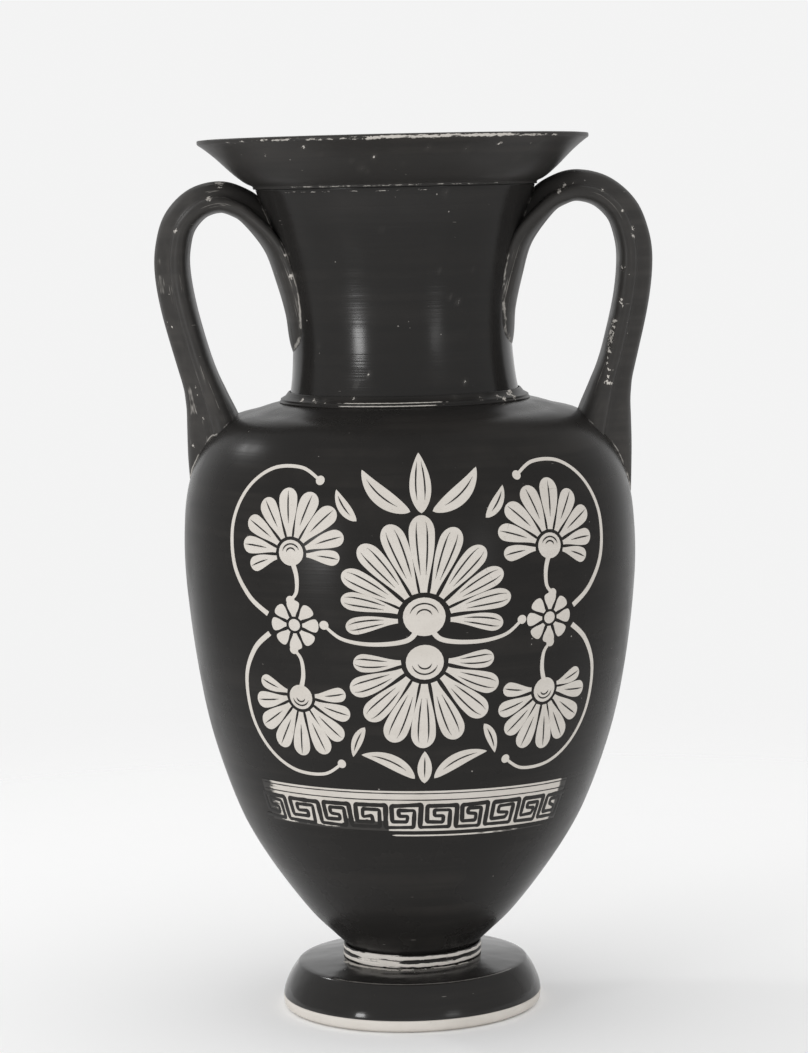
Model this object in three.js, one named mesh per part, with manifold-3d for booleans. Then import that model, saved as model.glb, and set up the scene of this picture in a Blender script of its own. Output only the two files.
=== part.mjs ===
// A neck amphora of black gloss ware, in millimetres, +Z up.
// The origin is under the middle of the jar's overall width, on the surface that it stands on.
// Front is -Y, and the two handles stand out along X.
// Each piece that the potter threw or drew by itself is a mesh of its own:
// foot, foot fillet, body, neck ring, neck, mouth and two ridged handles.

import * as THREE from 'three';
import { mergeVertices } from 'three/addons/utils/BufferGeometryUtils.js';
import Module from 'manifold-3d';

const wasm = await Module();
wasm.setup();

// Heights of the stacked pieces.
const footHeight = 19.6;
const bodyHeight = 219.0;
const neckHeight = 82.4;
const mouthHeight = 19.0;

// Radii that set the outline.
const footRadius = 50.9;
const footStandRadius = 48.6;
const footTopRadius = 45.0;
const stemRadius = 24.4;
const bodyRadius = 87.7;
const neckWaistRadius = 42.5;
const neckBaseRadius = 45.0;
const neckTopRadius = 54.0;
const mouthRadius = 75.4;

// The jar bows a little to one side between foot and rim, and its handles differ in reach,
// so that its foot stands a little off the middle of its overall width.
const sidewaysBow = 3.2;
const footOffset = 1.3;

// Walls, joints and the slip-filled clearance between pieces that are luted together.
const bodyWall = 5.4;
const bodyFloor = 9.0;
const neckWall = 5.6;
const mouthWall = 5.2;
const jointGap = 0.3;

// Foot: a reserved band below, a sloping side, a low cone above and a hollow underneath.
const footBandHeight = 4.8;
const footRimDrop = 2.2;
const footRimWidth = 2.0;
const footRimRise = 0.4;
const standWidth = 9.4;
const hollowHeight = 9.2;
const hollowSlopeWidth = 9.0;
const hollowRise = 0.4;
const socketRadius = 14.3;
const socketDepth = 3.8;

// Fillet round the stem, where the body meets the foot.
const filletHeight = 5.0;
const filletWidth = 2.9;
const stemHeight = 3.6;

// Ring round the base of the neck: a beaded edge that flares up into the neck.
const neckRingHeight = 4.2;
const neckRingWidth = 3.6;
const shoulderSeatWidth = 4.0;

// Body spigot that the neck is set over, and neck tongue that the mouth is set over.
const spigotRadius = 38.3;
const spigotHeight = 4.6;
const bodyMouthRadius = 34.6;
const tongueWidth = 2.6;
const tongueHeight = 2.8;

// Mouth: a short step over the neck, a flaring lip and a narrow upright edge.
const lipStepWidth = 0.8;
const lipStepHeight = 1.1;
const lipEdgeHeight = 1.5;
const lipTopWidth = 5.0;

// Handles: a flat strap with a ridge along its outer side.
const leftHandleReach = 87.6;
const rightHandleReach = 91.2;
const leftCrownDrop = 2.5;
const rightCrownDrop = 1.0;
const handleHalfWidth = 14.0;
const handleThickness = 13.4;

// Smoothness.
const roundSteps = 48;
const bodySteps = 26;
const neckSteps = 12;
const lipSteps = 9;
const handleSteps = 36;

// Levels, from the table upwards.
const bodyBase = footHeight;
const bodyTop = bodyBase + bodyHeight;
const neckTop = bodyTop + neckHeight;
const jarTop = neckTop + mouthHeight;

// Outline of the body from stem to neck: shares of the way from stem radius to body radius,
// and of its height.
const bodyOutlineShares = [
  [0.034, 0.028],
  [0.149, 0.057],
  [0.293, 0.102],
  [0.523, 0.194],
  [0.694, 0.285],
  [0.855, 0.422],
  [0.946, 0.559],
  [0.9945, 0.688],
  [0.9986, 0.765],
  [0.979, 0.833],
  [0.925, 0.891],
  [0.843, 0.934],
  [0.744, 0.966],
  [0.636, 0.982],
  [0.497, 0.991],
];

// Outline of the neck: shares of the way from waist to top radius, and of its height.
const neckOutlineShares = [
  [0.157, 0.040],
  [0.070, 0.120],
  [0.000, 0.250],
  [0.030, 0.390],
  [0.165, 0.545],
  [0.375, 0.700],
  [0.645, 0.855],
];

// Underside of the lip: shares of the way from its step to its edge, and of its height.
const lipOutlineShares = [
  [0.110, 0.060],
  [0.265, 0.200],
  [0.470, 0.430],
  [0.665, 0.670],
  [0.875, 0.890],
];

// Band of the foot: shares of the way from stand radius to foot radius, and of its height.
const footBandShares = [
  [0.700, 0.220],
  [1.000, 0.540],
  [0.970, 1.000],
];

// Side of the foot above its band: shares of the way from top radius out, and of its height.
const footSideShares = [
  [0.900, 0.214],
  [0.710, 0.452],
  [0.460, 0.690],
  [0.180, 0.890],
];

// Outer side of the fillet round the stem: shares of its width and height.
const filletOutlineShares = [
  [0.90, 0.00],
  [1.00, 0.16],
  [1.00, 0.36],
  [0.90, 0.50],
  [1.00, 0.64],
  [1.00, 0.84],
  [0.90, 1.00],
];

// Outer side of the ring round the neck: shares of its width and height.
const neckRingOutlineShares = [
  [1.00, 0.00],
  [1.00, 0.14],
  [0.86, 0.22],
  [0.86, 0.40],
  [0.64, 0.48],
  [0.36, 0.62],
  [0.15, 0.84],
  [0.04, 1.00],
];

// Middle line of a handle, from its end on the neck, over the crown, to its root on the shoulder:
// shares of the way from the neck's waist to the reach, and from the shoulder to the crown.
const handlePathShares = [
  [-0.224, 0.130],
  [-0.104, 0.270],
  [-0.076, 0.440],
  [-0.011, 0.602],
  [0.086, 0.771],
  [0.274, 0.920],
  [0.408, 0.976],
  [0.566, 1.000],
  [0.761, 0.970],
  [0.916, 0.882],
  [0.985, 0.764],
  [1.000, 0.639],
  [0.962, 0.465],
  [0.864, 0.229],
  [0.777, 0.055],
  [0.722, -0.082],
  [0.668, -0.256],
  [0.616, -0.430],
];

// How a handle's width, thickness and curl round the neck change along it, from neck to shoulder:
// share of the path, then shares of half width, of thickness, and of the curl at the neck.
const handleSwellShares = [
  [0.00, 0.60, 0.66, 1.00],
  [0.06, 1.30, 0.78, 1.00],
  [0.15, 1.52, 0.86, 1.00],
  [0.25, 1.46, 0.88, 0.80],
  [0.34, 1.18, 0.90, 0.20],
  [0.42, 1.02, 0.92, 0.00],
  [0.58, 1.00, 1.02, 0.00],
  [0.76, 1.02, 1.04, 0.00],
  [0.82, 1.12, 1.22, 0.00],
  [0.87, 1.36, 1.54, 0.00],
  [0.93, 1.30, 1.87, 0.00],
  [1.00, 0.62, 2.16, 0.00],
];

// Half of a handle's section, from the middle of its flat face round to the top of its ridge:
// shares of thickness, then of half width.
const handleSectionShares = [
  [-0.50, 0.00],
  [-0.48, 0.62],
  [-0.38, 0.92],
  [-0.20, 1.00],
  [-0.04, 0.90],
  [0.03, 0.64],
  [0.20, 0.52],
  [0.40, 0.34],
  [0.50, 0.00],
];

// A smooth outline through chosen points, as a list of evenly spaced points.
function smoothOutline(points, steps) {
  const curve = new THREE.SplineCurve(points.map(([r, z]) => new THREE.Vector2(r, z)));
  return curve.getSpacedPoints(steps).map((point) => [point.x, point.y]);
}

// An outline moved sideways by a distance: to its right-hand side, seen along its own direction.
function offsetOutline(points, distance) {
  return points.map(([r, z], i) => {
    const before = points[Math.max(i - 1, 0)];
    const after = points[Math.min(i + 1, points.length - 1)];
    const along = new THREE.Vector2(after[0] - before[0], after[1] - before[1]).normalize();
    return [r + distance * along.y, z - distance * along.x];
  });
}

// A round piece from its half section, turned about the upright axis.
function turned(outline) {
  const points = outline.map(([r, z]) => new THREE.Vector2(Math.max(r, 0), z));
  const geometry = new THREE.LatheGeometry(points, roundSteps);
  geometry.rotateX(Math.PI / 2);
  return welded(geometry);
}

// The same surface with shared corners, ready for a cut.
function welded(geometry) {
  geometry.deleteAttribute('normal');
  geometry.deleteAttribute('uv');
  return mergeVertices(geometry);
}

function toSolid(geometry) {
  return new wasm.Manifold(new wasm.Mesh({
    numProp: 3,
    vertProperties: new Float32Array(geometry.attributes.position.array),
    triVerts: new Uint32Array(geometry.index.array),
  }));
}

function fromSolid(solid) {
  const mesh = solid.getMesh();
  const geometry = new THREE.BufferGeometry();
  geometry.setAttribute('position', new THREE.BufferAttribute(mesh.vertProperties, 3));
  geometry.setIndex(new THREE.BufferAttribute(mesh.triVerts, 1));
  return geometry;
}

// Every piece follows the jar's slight bow, so that neighbours keep their clearance.
function bowed(geometry) {
  const position = geometry.attributes.position;
  for (let i = 0; i < position.count; i += 1) {
    const bow = sidewaysBow * Math.sin(Math.PI * position.getZ(i) / jarTop);
    position.setX(i, position.getX(i) + bow - footOffset);
  }
  return geometry;
}

const gloss = { color: 0x1d1b1a, roughness: 0.22, metalness: 0.0 };
const clay = { color: 0xcfc5b4, roughness: 0.7, metalness: 0.0 };

function piece(name, geometry, finish) {
  const shape = bowed(geometry);
  shape.computeVertexNormals();
  const mesh = new THREE.Mesh(shape, new THREE.MeshStandardMaterial(finish));
  mesh.name = name;
  return mesh;
}

// Foot, with a socket on top for the body's tenon and a hollow underneath.
function footGeometry() {
  const sideReach = footRadius - footTopRadius;
  const sideHeight = footHeight - footRimDrop - footBandHeight;
  const standInner = footStandRadius - standWidth;
  const band = footBandShares.map(([out, up]) => [
    footStandRadius + out * (footRadius - footStandRadius),
    up * footBandHeight,
  ]);
  const side = footSideShares.map(([across, up]) => [
    footTopRadius + across * sideReach,
    footBandHeight + up * sideHeight,
  ]);
  return turned([
    [0, hollowHeight],
    [standInner - hollowSlopeWidth, hollowHeight - hollowRise],
    [standInner, 0],
    [footStandRadius, 0],
    ...band,
    ...side,
    [footTopRadius, footHeight - footRimDrop],
    [footTopRadius - footRimWidth, footHeight - footRimDrop + footRimRise],
    [stemRadius + filletWidth, footHeight],
    [socketRadius, footHeight],
    [socketRadius, footHeight - socketDepth],
    [0, footHeight - socketDepth],
  ]);
}

// Outer side of the body, from the foot to the seat of the neck ring.
function bodySide() {
  const seatRadius = neckBaseRadius + shoulderSeatWidth;
  const stemTop = [stemRadius, bodyBase + stemHeight];
  const seat = [seatRadius, bodyTop];
  const points = bodyOutlineShares.map(([out, up]) => [
    stemRadius + out * (bodyRadius - stemRadius),
    bodyBase + up * bodyHeight,
  ]);
  return [[stemRadius, bodyBase], ...smoothOutline([stemTop, ...points, seat], bodySteps)];
}

// Radius of an outline at a level, on the straight line between its neighbouring points.
function radiusAt(side, level) {
  const above = Math.max(side.findIndex(([, z]) => z >= level), 1);
  const [low, high] = [side[above - 1], side[above]];
  return THREE.MathUtils.mapLinear(level, low[1], high[1], low[0], high[0]);
}

// Body: closed below with a tenon for the foot, open above with a spigot for the neck.
function bodyGeometry() {
  const side = bodySide();
  const floor = bodyBase + bodyFloor;
  const ceiling = bodyTop - bodyWall;
  const inside = offsetOutline(side, -bodyWall).filter(([, z]) => z > floor && z < ceiling);
  const lowest = inside[0];
  const thinned = inside.filter((point, i) => i % 2 === 0).reverse();
  const tenonRadius = socketRadius - jointGap;
  return turned([
    [0, bodyBase - socketDepth + jointGap],
    [tenonRadius, bodyBase - socketDepth + jointGap],
    [tenonRadius, bodyBase],
    ...side,
    [spigotRadius, bodyTop],
    [spigotRadius, bodyTop + spigotHeight],
    [bodyMouthRadius, bodyTop + spigotHeight],
    [bodyMouthRadius, ceiling],
    ...thinned,
    [lowest[0] - bodyWall, floor],
    [0, floor],
  ]);
}

// Fillet round the stem: its inner side follows the body at the joint's clearance.
function footFilletGeometry() {
  const side = bodySide();
  const inner = stemRadius + jointGap;
  const outer = filletOutlineShares.map(([out, up]) => [
    stemRadius + out * filletWidth,
    footHeight + up * filletHeight,
  ]);
  const [topRadius, top] = outer[outer.length - 1];
  return turned([
    [inner, footHeight],
    ...outer,
    [Math.min(radiusAt(side, top) + 2 * jointGap, topRadius - jointGap), top],
    [inner + jointGap, footHeight + stemHeight],
    [inner, footHeight],
  ]);
}

// Outer side of the neck, from its seat on the shoulder to the mouth.
function neckSide() {
  const flare = neckTopRadius - neckWaistRadius;
  const points = neckOutlineShares.map(([out, up]) => [
    neckWaistRadius + out * flare,
    bodyTop + up * neckHeight,
  ]);
  const foot = [neckBaseRadius, bodyTop];
  const head = [neckTopRadius, neckTop];
  return smoothOutline([foot, ...points, head], neckSteps);
}

// Neck: set over the body's spigot below, with a tongue for the mouth above.
function neckGeometry() {
  const side = neckSide();
  const rebate = spigotRadius + jointGap;
  const rebateTop = bodyTop + spigotHeight + jointGap;
  const bore = neckTopRadius - neckWall;
  const inside = offsetOutline(side, -neckWall)
    .filter(([, z]) => z > rebateTop && z < neckTop)
    .reverse();
  return turned([
    [rebate, bodyTop],
    ...side,
    [bore + tongueWidth, neckTop],
    [bore + tongueWidth, neckTop + tongueHeight],
    [bore, neckTop + tongueHeight],
    ...inside,
    [inside[inside.length - 1][0], rebateTop],
    [rebate, rebateTop],
    [rebate, bodyTop],
  ]);
}

// Outer side of the neck ring, from the shoulder up.
function neckRingSide() {
  return neckRingOutlineShares.map(([out, up]) => [
    neckBaseRadius + out * neckRingWidth,
    bodyTop + up * neckRingHeight,
  ]);
}

// Ring luted round the base of the neck, on the flat seat of the shoulder.
// Its inner side follows the neck, a little wider than the joint's clearance.
function neckRingGeometry() {
  const side = neckSide();
  const gap = jointGap * 1.1;
  const top = bodyTop + neckRingHeight;
  const inner = [radiusAt(side, bodyTop) + gap, bodyTop];
  return turned([inner, ...neckRingSide(), [radiusAt(side, top) + gap, top], inner]);
}

// Outer side of the mouth, from its step over the neck to its upright edge.
function lipSide() {
  const stepRadius = neckTopRadius + lipStepWidth;
  const edgeBase = jarTop - lipEdgeHeight;
  const rise = edgeBase - neckTop - lipStepHeight;
  const points = lipOutlineShares.map(([out, up]) => [
    stepRadius + out * (mouthRadius - stepRadius),
    neckTop + lipStepHeight + up * rise,
  ]);
  const start = [stepRadius, neckTop + lipStepHeight];
  const edge = [mouthRadius, edgeBase];
  return [[stepRadius, neckTop], ...smoothOutline([start, ...points, edge], lipSteps)];
}

// Mouth: rebated over the neck's tongue, with a flat top edge.
function mouthGeometry() {
  const side = lipSide();
  const bore = neckTopRadius - neckWall;
  const rebate = bore + tongueWidth + jointGap;
  const rebateTop = neckTop + tongueHeight + jointGap;
  const inside = offsetOutline(side.slice(2), -mouthWall)
    .filter(([r, z]) => z > rebateTop + jointGap && z < jarTop - lipEdgeHeight && r > bore)
    .reverse();
  return turned([
    [rebate, neckTop],
    ...side,
    [mouthRadius, jarTop],
    [mouthRadius - lipTopWidth, jarTop],
    ...inside,
    [bore, rebateTop + jointGap],
    [bore, rebateTop],
    [rebate, rebateTop],
    [rebate, neckTop],
  ]);
}

// A row of the swell table at a share of the path, blended smoothly between its neighbours.
function swellAt(share) {
  const after = handleSwellShares.findIndex(([at]) => at >= share);
  const high = handleSwellShares[Math.max(after, 1)];
  const low = handleSwellShares[Math.max(after, 1) - 1];
  const mix = THREE.MathUtils.smoothstep(share, low[0], high[0]);
  return low.map((value, i) => THREE.MathUtils.lerp(value, high[i], mix));
}

// A handle on the +X side before it is cut to its neighbours.
function handleBar(reach, crownDrop) {
  const crown = neckTop - crownDrop;
  const path = new THREE.SplineCurve(handlePathShares.map(([out, up]) => new THREE.Vector2(
    neckWaistRadius + out * (reach - neckWaistRadius),
    bodyTop + up * (crown - bodyTop),
  )));
  const half = handleSectionShares.map(([thick, wide]) => new THREE.Vector2(thick, wide));
  const mirrored = half.slice(1, -1).reverse().map((point) => new THREE.Vector2(point.x, -point.y));
  const section = new THREE.Shape([...half, ...mirrored]);
  const bar = new THREE.ExtrudeGeometry(section, {
    depth: 1,
    steps: handleSteps,
    bevelEnabled: false,
  });
  const position = bar.attributes.position;
  const curl = handleHalfWidth ** 2 / neckWaistRadius;
  for (let i = 0; i < position.count; i += 1) {
    const share = THREE.MathUtils.clamp(position.getZ(i), 0, 1);
    const middle = path.getPointAt(share);
    const along = path.getTangentAt(share);
    const [, width, thickness, wrap] = swellAt(share);
    const wide = position.getY(i);
    const out = position.getX(i) * thickness * handleThickness + wrap * curl * wide * wide;
    position.setXYZ(
      i,
      middle.x - along.y * out,
      -wide * width * handleHalfWidth,
      middle.y + along.x * out,
    );
  }
  return toSolid(welded(bar));
}

// A filled round solid that keeps the joint's clearance round a piece's outer side.
function clearanceSolid(side) {
  const [foot, head] = [side[0], side[side.length - 1]];
  const whole = [[foot[0], foot[1] - jointGap], ...side, [head[0], head[1] + jointGap]];
  const outer = offsetOutline(whole, jointGap);
  const [low, high] = [outer[0], outer[outer.length - 1]];
  return toSolid(turned([[0, low[1]], ...outer, [0, high[1]]]));
}

// A handle cut to the body, the neck, the neck ring and the mouth that it is luted to.
function handleGeometry(reach, crownDrop, turn) {
  const bar = handleBar(reach, crownDrop)
    .subtract(clearanceSolid(bodySide()))
    .subtract(clearanceSolid(neckSide()))
    .subtract(clearanceSolid(neckRingSide()))
    .subtract(clearanceSolid([...lipSide(), [mouthRadius, jarTop]]));
  return fromSolid(bar).rotateZ(turn);
}

const amphora = new THREE.Group();
amphora.name = 'neck_amphora';
amphora.add(
  piece('foot', footGeometry(), gloss),
  piece('foot_fillet', footFilletGeometry(), clay),
  piece('body', bodyGeometry(), gloss),
  piece('neck_ring', neckRingGeometry(), gloss),
  piece('neck', neckGeometry(), gloss),
  piece('mouth', mouthGeometry(), gloss),
  piece('left_handle', handleGeometry(leftHandleReach, leftCrownDrop, Math.PI), gloss),
  piece('right_handle', handleGeometry(rightHandleReach, rightCrownDrop, 0), gloss),
);

export default amphora;
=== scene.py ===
# Looks of a neck amphora: black gloss slip over fired clay, with its ornament left in bare clay.
# Metres, +Z up, front towards -Y. Turned pieces are spun finely from the half sections of the
# solids, the handles are drawn out along the solids' own path, and the painted ornament lies on
# the body as thin skins of clay and slip.

import math

import bmesh
import bpy
import numpy as np
from mathutils import Matrix, Vector, noise


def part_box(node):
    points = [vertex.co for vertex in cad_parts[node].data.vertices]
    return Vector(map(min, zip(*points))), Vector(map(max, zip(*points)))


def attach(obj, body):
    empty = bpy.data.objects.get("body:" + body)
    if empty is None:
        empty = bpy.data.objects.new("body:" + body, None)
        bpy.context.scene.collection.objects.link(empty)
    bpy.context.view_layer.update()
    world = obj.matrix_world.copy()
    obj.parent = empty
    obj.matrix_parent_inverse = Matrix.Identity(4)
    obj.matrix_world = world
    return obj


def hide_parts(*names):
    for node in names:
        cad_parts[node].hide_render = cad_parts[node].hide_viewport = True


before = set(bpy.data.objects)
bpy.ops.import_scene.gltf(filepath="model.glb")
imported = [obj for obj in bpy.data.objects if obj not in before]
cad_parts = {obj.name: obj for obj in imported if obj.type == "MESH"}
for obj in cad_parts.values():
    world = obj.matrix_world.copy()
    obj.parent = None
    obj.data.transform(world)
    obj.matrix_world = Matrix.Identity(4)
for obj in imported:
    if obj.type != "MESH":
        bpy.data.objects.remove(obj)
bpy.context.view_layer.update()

MM = 0.001
WELD = 0.001 * MM

# Levels and radii taken from the solids.
JAR_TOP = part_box("mouth")[1].z
BODY_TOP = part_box("neck")[0].z
NECK_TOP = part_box("mouth")[0].z
FOOT_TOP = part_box("foot")[1].z

# The jar's bow to one side, and the foot's place off the middle, as in the solids.
SIDEWAYS_BOW = 3.2 * MM
FOOT_OFFSET = 1.3 * MM

# Fineness of the turned pieces.
ROUND_STEPS = 240
OUTLINE_STEP = 2.0 * MM
CORNER_CUT = 0.5 * MM
CORNER_TURN = math.radians(30)
CORNER_POINTS = 3
SHARP_ANGLE = math.radians(50)

# How far the thrown clay strays from a true circle, in full from a radius on.
OUT_OF_ROUND = 0.22 * MM
OUT_OF_ROUND_SCALE = 9.0
OUT_OF_ROUND_RADIUS = 50 * MM


def bow(height):
    """How far the jar's middle stands to the right at a height."""
    return SIDEWAYS_BOW * np.sin(np.pi * height / JAR_TOP) - FOOT_OFFSET


def settle(bm):
    """Moves a piece from the ideal jar to the thrown one: a little out of round, and bowed."""
    for vert in bm.verts:
        away = Vector((vert.co.x, vert.co.y, 0))
        reach = away.length
        if reach > WELD:
            stray = noise.noise(vert.co * OUT_OF_ROUND_SCALE) * min(reach / OUT_OF_ROUND_RADIUS, 1)
            vert.co += away * (stray * OUT_OF_ROUND / reach)
        vert.co.x += bow(vert.co.z)


def half_section(node):
    """A turned solid's half section as points of (radius, height), and whether it closes."""
    bm = bmesh.new()
    bm.from_mesh(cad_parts[node].data)
    bmesh.ops.remove_doubles(bm, verts=bm.verts, dist=WELD)
    bmesh.ops.bisect_plane(
        bm, geom=bm.verts[:] + bm.edges[:] + bm.faces[:], dist=WELD, plane_co=(0, 0, 0),
        plane_no=(0, 1, 0), clear_inner=True, clear_outer=True)
    for vert in bm.verts:
        vert.co.x -= bow(vert.co.z)
    far_side = [vert for vert in bm.verts if vert.co.x < -10 * WELD]
    bmesh.ops.delete(bm, geom=far_side, context="VERTS")
    ends = [vert for vert in bm.verts if len(vert.link_edges) == 1]
    walk = [min(ends or bm.verts, key=lambda vert: vert.co.z)]
    while True:
        neighbours = [edge.other_vert(walk[-1]) for edge in walk[-1].link_edges]
        onwards = [vert for vert in neighbours if vert not in walk]
        if not onwards:
            break
        walk.append(onwards[0])
    points = [Vector((max(vert.co.x, 0), vert.co.z)) for vert in walk]
    bm.free()
    return points, not ends


def spline(points, per_span=16):
    """A smooth line through chosen points, as many short steps."""
    points = [Vector(point) for point in points]
    line = []
    for i in range(len(points) - 1):
        before, start = points[max(i - 1, 0)], points[i]
        end, after = points[i + 1], points[min(i + 2, len(points) - 1)]
        leave, arrive = (end - before) / 2, (after - start) / 2
        for k in range(per_span):
            t = k / per_span
            line.append(
                start * (2 * t**3 - 3 * t**2 + 1) + end * (3 * t**2 - 2 * t**3)
                + leave * (t**3 - 2 * t**2 + t) + arrive * (t**3 - t**2))
    line.append(points[-1])
    return line


def lengths(line):
    """Length along a line at each of its points."""
    steps = [(b - a).length for a, b in zip(line, line[1:])]
    return np.concatenate([[0.0], np.cumsum(steps)])


def evenly(line, step, trim_start=0.0, trim_end=0.0):
    """The same line in even steps, less what is trimmed from its ends."""
    along = lengths(line)
    whole = along[-1]
    count = max(2, round((whole - trim_start - trim_end) / step) + 1)
    places = np.linspace(trim_start, whole - trim_end, count)
    xs = np.interp(places, along, [point[0] for point in line])
    ys = np.interp(places, along, [point[1] for point in line])
    return [Vector((x, y)) for x, y in zip(xs, ys)]


def eased(points, closed):
    """An outline with its gentle runs drawn smooth and its corners slightly rounded."""
    count = len(points)

    def turns(i):
        arriving = points[i] - points[i - 1]
        leaving = points[(i + 1) % count] - points[i]
        return arriving.angle(leaving, 0.0) > CORNER_TURN

    corners = [i for i in range(count) if turns(i) or (not closed and i in (0, count - 1))]
    if closed:
        points = points[corners[0]:] + points[:corners[0]] + [points[corners[0]]]
        corners = [i - corners[0] for i in corners] + [count]
    outline = []
    for first, last in zip(corners, corners[1:]):
        run = points[first:last + 1]
        line = spline(run) if len(run) > 2 else run
        back = min(CORNER_CUT, lengths(line)[-1] * 0.3)
        start = 0.0 if not closed and first == 0 else back
        end = 0.0 if not closed and last == count - 1 else back
        piece = evenly(line, OUTLINE_STEP, start, end)
        if outline:
            outline += rounding(outline[-1], points[first], piece[0])
        outline += piece
    if closed:
        outline += rounding(outline[-1], points[0], outline[0])
    return outline


def rounding(start, corner, end):
    """Points that lead round a corner from start to end, both left out."""
    shares = [(k + 1) / (CORNER_POINTS + 1) for k in range(CORNER_POINTS)]
    return [bent(start, corner, end, t) for t in shares]


def bent(start, corner, end, t):
    """A place at a share of the bend from start to end that leans towards the corner."""
    return start * (1 - t) ** 2 + corner * (2 * t * (1 - t)) + end * t**2


def spun(outline, closed):
    """A turned body from its half section."""
    bm = bmesh.new()
    verts = [bm.verts.new((point.x, 0, point.y)) for point in outline]
    ends = verts[1:] + verts[:1] if closed else verts[1:]
    edges = [bm.edges.new(pair) for pair in zip(verts, ends)]
    bmesh.ops.spin(
        bm, geom=verts + edges, cent=(0, 0, 0), axis=(0, 0, 1), dvec=(0, 0, 0), angle=math.tau,
        steps=ROUND_STEPS, use_merge=True, use_normal_flip=False, use_duplicate=False)
    bmesh.ops.remove_doubles(bm, verts=bm.verts, dist=WELD)
    bmesh.ops.recalc_face_normals(bm, faces=bm.faces)
    return bm


def as_mesh(name, bm):
    mesh = bpy.data.meshes.new(name)
    bm.to_mesh(mesh)
    bm.free()
    return mesh


def placed(name, data):
    """A new thing in the scene."""
    thing = bpy.data.objects.new(name, data)
    bpy.context.scene.collection.objects.link(thing)
    return thing


def finished(name, bm, materials, slot, *nodes):
    """Makes the piece, lets it ride with the jar and hides the solids it stands for."""
    mesh = as_mesh(name, bm)
    mesh.shade_smooth()
    mesh.set_sharp_from_angle(angle=SHARP_ANGLE)
    for material in materials:
        mesh.materials.append(material)
    piece = placed(name, mesh)
    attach(piece, "root")
    if nodes:
        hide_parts(*nodes)


# Outer side of the whole jar, used where something is laid on it or luted to it.
SECTIONS = {node: half_section(node) for node in (
    "foot", "foot_fillet", "body", "neck_ring", "neck", "mouth")}
OUTLINES = {node: eased(*section) for node, section in SECTIONS.items()}


def radius_at(nodes, height):
    """Outer radius of the turned pieces at a height."""
    best = 0.0
    for node in nodes:
        outline = OUTLINES[node]
        ends = outline[1:] + outline[:1] if SECTIONS[node][1] else outline[1:]
        for a, b in zip(outline, ends):
            if min(a.y, b.y) <= height <= max(a.y, b.y) and a.y != b.y:
                share = (height - a.y) / (b.y - a.y)
                best = max(best, a.x + share * (b.x - a.x))
    return best


LEVELS = np.arange(FOOT_TOP + 0.5 * MM, JAR_TOP, 0.5 * MM)
BODY_LEVELS = LEVELS[LEVELS < BODY_TOP - 0.2 * MM]
BODY_RADII = np.array([radius_at(["body"], level) for level in BODY_LEVELS])
JAR_RADII = np.array([
    radius_at(["foot_fillet", "body", "neck_ring", "neck", "mouth"], level) for level in LEVELS])


def outside_distance(radii, heights):
    """How far places lie outside the jar's outer side, or inside it as less than nothing, with
    the nearest place of that side and the way out from it, as radius and height."""
    side = np.stack([JAR_RADII, LEVELS], 1)
    start, step = side[:-1], np.diff(side, axis=0)
    places = np.stack([radii, heights], 1)[:, None, :] - start[None]
    share = np.clip((places * step).sum(2) / (step**2).sum(1), 0, 1)
    gaps = np.linalg.norm(places - share[..., None] * step, axis=2)
    nearest = gaps.argmin(1)
    rows = np.arange(len(radii))
    inside = radii < np.interp(heights, LEVELS, JAR_RADII)
    foot = start[nearest] + share[rows, nearest][:, None] * step[nearest]
    away = np.stack([step[nearest, 1], -step[nearest, 0]], 1)
    away /= np.linalg.norm(away, axis=1)[:, None]
    return np.where(inside, -1, 1) * gaps[rows, nearest], foot, away


class Value:
    """What a node puts out. A sum with it, written plainly, adds the nodes it needs."""

    def __init__(self, nodes, socket):
        self.nodes = nodes
        self.socket = socket

    def __add__(self, other):
        return self.nodes.math("ADD", self, other)

    def __sub__(self, other):
        return self.nodes.math("SUBTRACT", self, other)

    def __rsub__(self, other):
        return self.nodes.math("SUBTRACT", other, self)

    def __mul__(self, other):
        return self.nodes.math("MULTIPLY", self, other)

    def __truediv__(self, other):
        return self.nodes.math("DIVIDE", self, other)

    def __abs__(self):
        return self.nodes.math("ABSOLUTE", self)


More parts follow.
